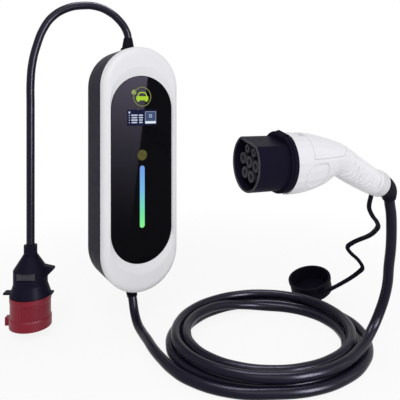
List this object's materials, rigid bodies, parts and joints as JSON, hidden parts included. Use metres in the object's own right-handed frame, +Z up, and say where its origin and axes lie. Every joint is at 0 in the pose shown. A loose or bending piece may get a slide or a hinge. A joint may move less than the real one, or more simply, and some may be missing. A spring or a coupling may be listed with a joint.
{
  "type": "portable ev charger",
  "caption": "Capsule-shaped control box with a display, a mains lead to a round red plug, and a coiled output lead to a pistol-shaped vehicle connector with a tethered cap.",
  "frame": {"origin": "middle of the control box's rear face, midway between the two wall-fixing holes", "axes": "+Z up along the box, -Y out of the display, +X to the right as the display is read"},
  "size_m": [0.4816, 0.3556, 0.4585],
  "materials": {
    "white_plastic": "satin moulded",
    "black_plastic": "fine moulded grain",
    "black_rubber": "matt",
    "panel_gloss": "high gloss",
    "screen": "display behind a clear window",
    "ring_olive": "gloss inlay",
    "symbol_lime": "gloss inlay",
    "key_olive": "gloss inlay",
    "light_guide": "translucent light guide",
    "circuit_board": "solder mask",
    "relay_blue": "moulded",
    "sensor_cream": "potted",
    "supply_yellow": "taped winding",
    "terminal_green": "moulded",
    "clamp_grey": "moulded",
    "cable_sheath": "satin sheath",
    "red_plastic": "satin moulded",
    "brass_contact": "nickel-bright",
    "carrier_grey": "moulded",
    "steel": "zinc"
  },
  "bodies": {
    "root": {"front_shell": "white_plastic", "rear_housing": "black_plastic", "housing_seal": "black_rubber", "housing_screws": "steel", "display_panel": "panel_gloss", "lcd_module": "screen", "status_ring": "ring_olive", "car_symbol": "symbol_lime", "touch_key": "key_olive", "light_bar": "light_guide", "display_board": "circuit_board", "display_screws": "steel", "main_board": "circuit_board", "board_screws": "steel", "relays": "relay_blue", "leakage_sensor": "sensor_cream", "power_supply": "supply_yellow", "input_terminals": "terminal_green", "output_terminals": "terminal_green", "mains_clamp": "clamp_grey", "output_clamp": "clamp_grey", "clamp_screws": "steel", "mains_tail": "cable_sheath", "output_tail": "cable_sheath", "mains_gland": "black_rubber", "output_gland": "black_rubber", "mains_lead": "cable_sheath", "plug_nut": "black_plastic", "plug_housing": "black_plastic", "plug_seal": "black_rubber", "plug_shroud": "red_plastic", "plug_carrier": "red_plastic", "plug_pins": "brass_contact", "output_lead_in": "cable_sheath", "output_coil": "cable_sheath", "output_lead_rise": "cable_sheath", "connector_nose": "black_plastic", "contact_carrier": "carrier_grey", "power_contacts": "brass_contact", "signal_contacts": "brass_contact", "nose_gasket": "black_rubber", "connector_body": "white_plastic", "connector_cover": "white_plastic", "connector_gland": "black_rubber", "tether_ring": "black_rubber", "tether_strap": "black_rubber", "dust_cap": "black_rubber"}
  },
  "joints": []
}
